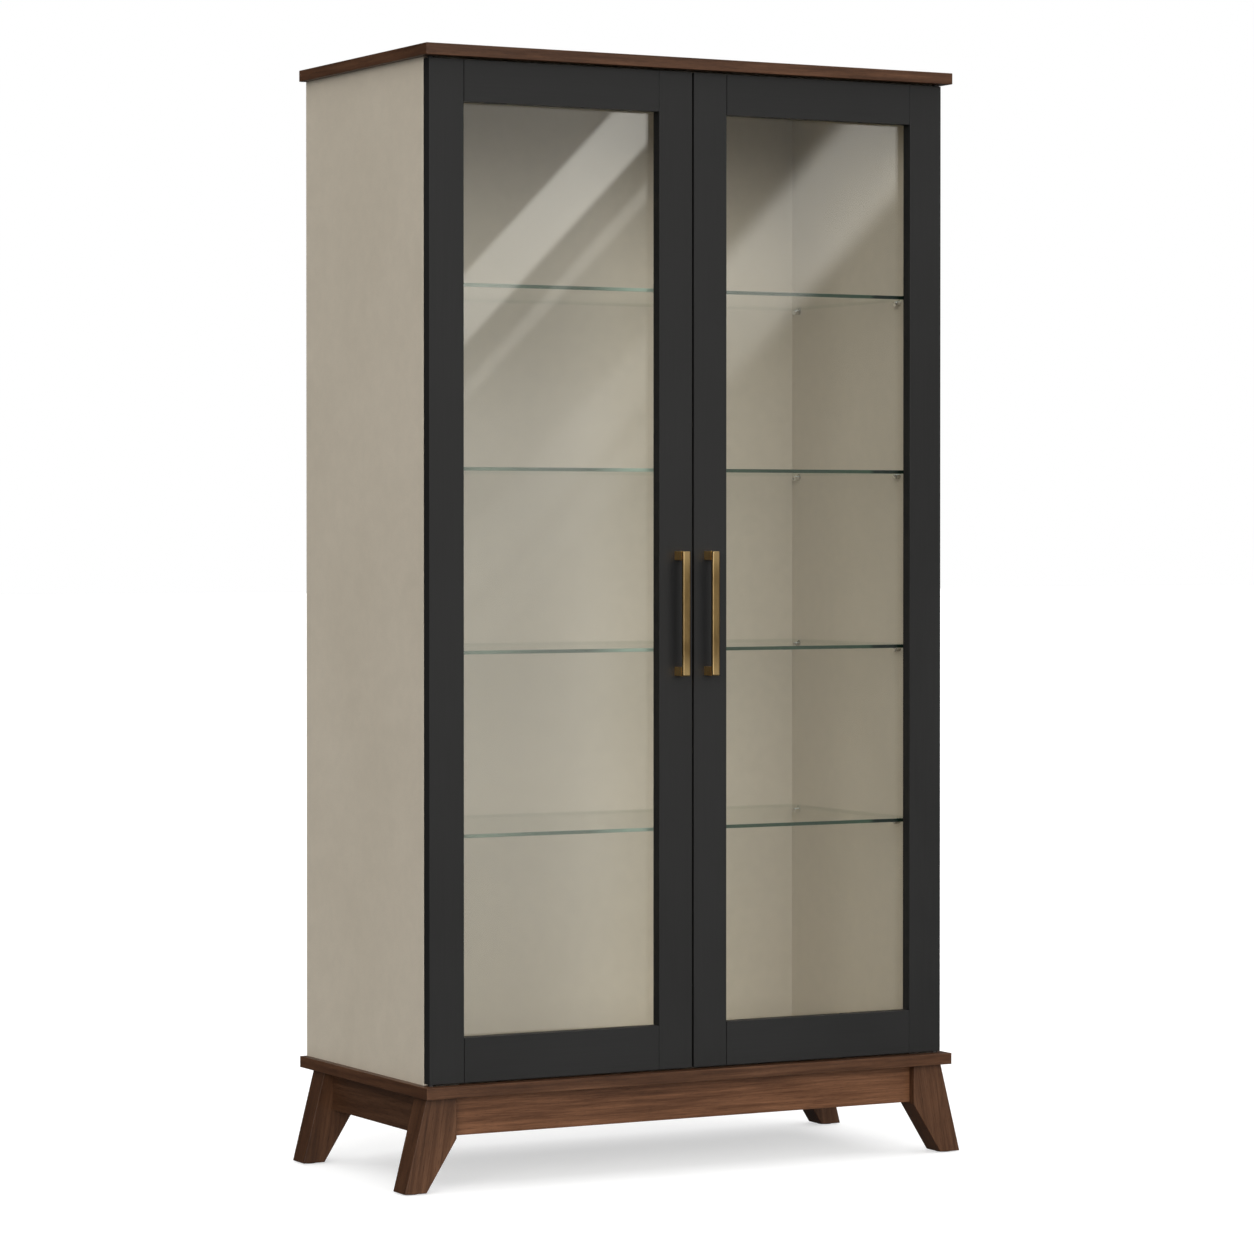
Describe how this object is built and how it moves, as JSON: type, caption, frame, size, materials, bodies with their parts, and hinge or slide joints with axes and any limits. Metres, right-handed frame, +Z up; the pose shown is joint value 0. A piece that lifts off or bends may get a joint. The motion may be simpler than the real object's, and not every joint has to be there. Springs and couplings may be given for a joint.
{
  "type": "china cabinet with glass doors",
  "caption": "Upright china cabinet with a pair of framed glass doors, glass shelves inside, long bar handles and a low base on outward-leaning wooden legs.",
  "frame": {"origin": "on the floor, below the centre of the whole object's box, handles and feet included", "axes": "+Z up, -Y the front with the doors, +X the right-hand side seen from the front"},
  "size_m": [1.0584, 0.5084, 1.853],
  "materials": {
    "walnut": "satin walnut veneer and solid walnut, open grain",
    "case_panel": "fine matt greige melamine on board",
    "charcoal_frame": "matt charcoal lacquer on wood",
    "plain_timber": "unfinished beech",
    "antique_brass": "satin antique brass",
    "door_glass": "clear polished float glass",
    "shelf_glass": "clear tempered glass with green polished edges",
    "polished_metal": "bright nickel plate",
    "zinc": "bright zinc plate",
    "nylon": "dark nylon",
    "dark_plastic": "brown moulded plastic",
    "clear_plastic": "clear soft pad"
  },
  "bodies": {
    "cabinet": {"top_board": "walnut", "base_board": "walnut", "side_panel_left": "case_panel", "side_panel_right": "case_panel", "carcass_top_panel": "case_panel", "carcass_bottom_panel": "case_panel", "back_panel": "case_panel", "apron_front": "walnut", "apron_back": "walnut", "apron_left": "walnut", "apron_right": "walnut", "leg_front_left": "walnut", "leg_front_right": "walnut", "leg_back_left": "walnut", "leg_back_right": "walnut", "corner_blocks": "plain_timber", "foot_glides": "nylon", "glass_shelf_1": "shelf_glass", "glass_shelf_2": "shelf_glass", "glass_shelf_3": "shelf_glass", "glass_shelf_4": "shelf_glass", "shelf_supports": "polished_metal", "shelf_support_pads": "clear_plastic", "cam_locks": "zinc", "cam_bolts": "zinc", "carcass_dowels": "plain_timber", "board_screws": "zinc", "base_frame_screws": "zinc", "back_panel_screws": "zinc", "hinge_case_leaves": "zinc", "hinge_washers": "nylon", "case_hardware_screws": "zinc", "catch_body": "dark_plastic", "catch_magnets": "zinc"},
    "left_door": {"left_door_hinge_stile": "charcoal_frame", "left_door_meeting_stile": "charcoal_frame", "left_door_top_rail": "charcoal_frame", "left_door_bottom_rail": "charcoal_frame", "left_door_glass": "door_glass", "left_door_glazing_beads": "charcoal_frame", "left_door_dowels": "plain_timber", "left_door_handle_bar": "antique_brass", "left_door_handle_posts": "antique_brass", "left_door_handle_screws": "zinc", "left_door_hinge_leaves": "zinc", "left_door_hinge_screws": "zinc", "left_door_strike_plate": "zinc"},
    "right_door": {"right_door_hinge_stile": "charcoal_frame", "right_door_meeting_stile": "charcoal_frame", "right_door_top_rail": "charcoal_frame", "right_door_bottom_rail": "charcoal_frame", "right_door_glass": "door_glass", "right_door_glazing_beads": "charcoal_frame", "right_door_dowels": "plain_timber", "right_door_handle_bar": "antique_brass", "right_door_handle_posts": "antique_brass", "right_door_handle_screws": "zinc", "right_door_hinge_leaves": "zinc", "right_door_hinge_screws": "zinc", "right_door_strike_plate": "zinc"}
  },
  "joints": [
    {"name": "left_door_hinge", "type": "hinge", "parent": "cabinet", "child": "left_door", "pos_m": [-0.481, -0.21675, 1], "axis": [0, 0, -1], "range_deg": [0, 110]},
    {"name": "right_door_hinge", "type": "hinge", "parent": "cabinet", "child": "right_door", "pos_m": [0.481, -0.21675, 1], "axis": [0, 0, 1], "range_deg": [0, 110]}
  ]
}
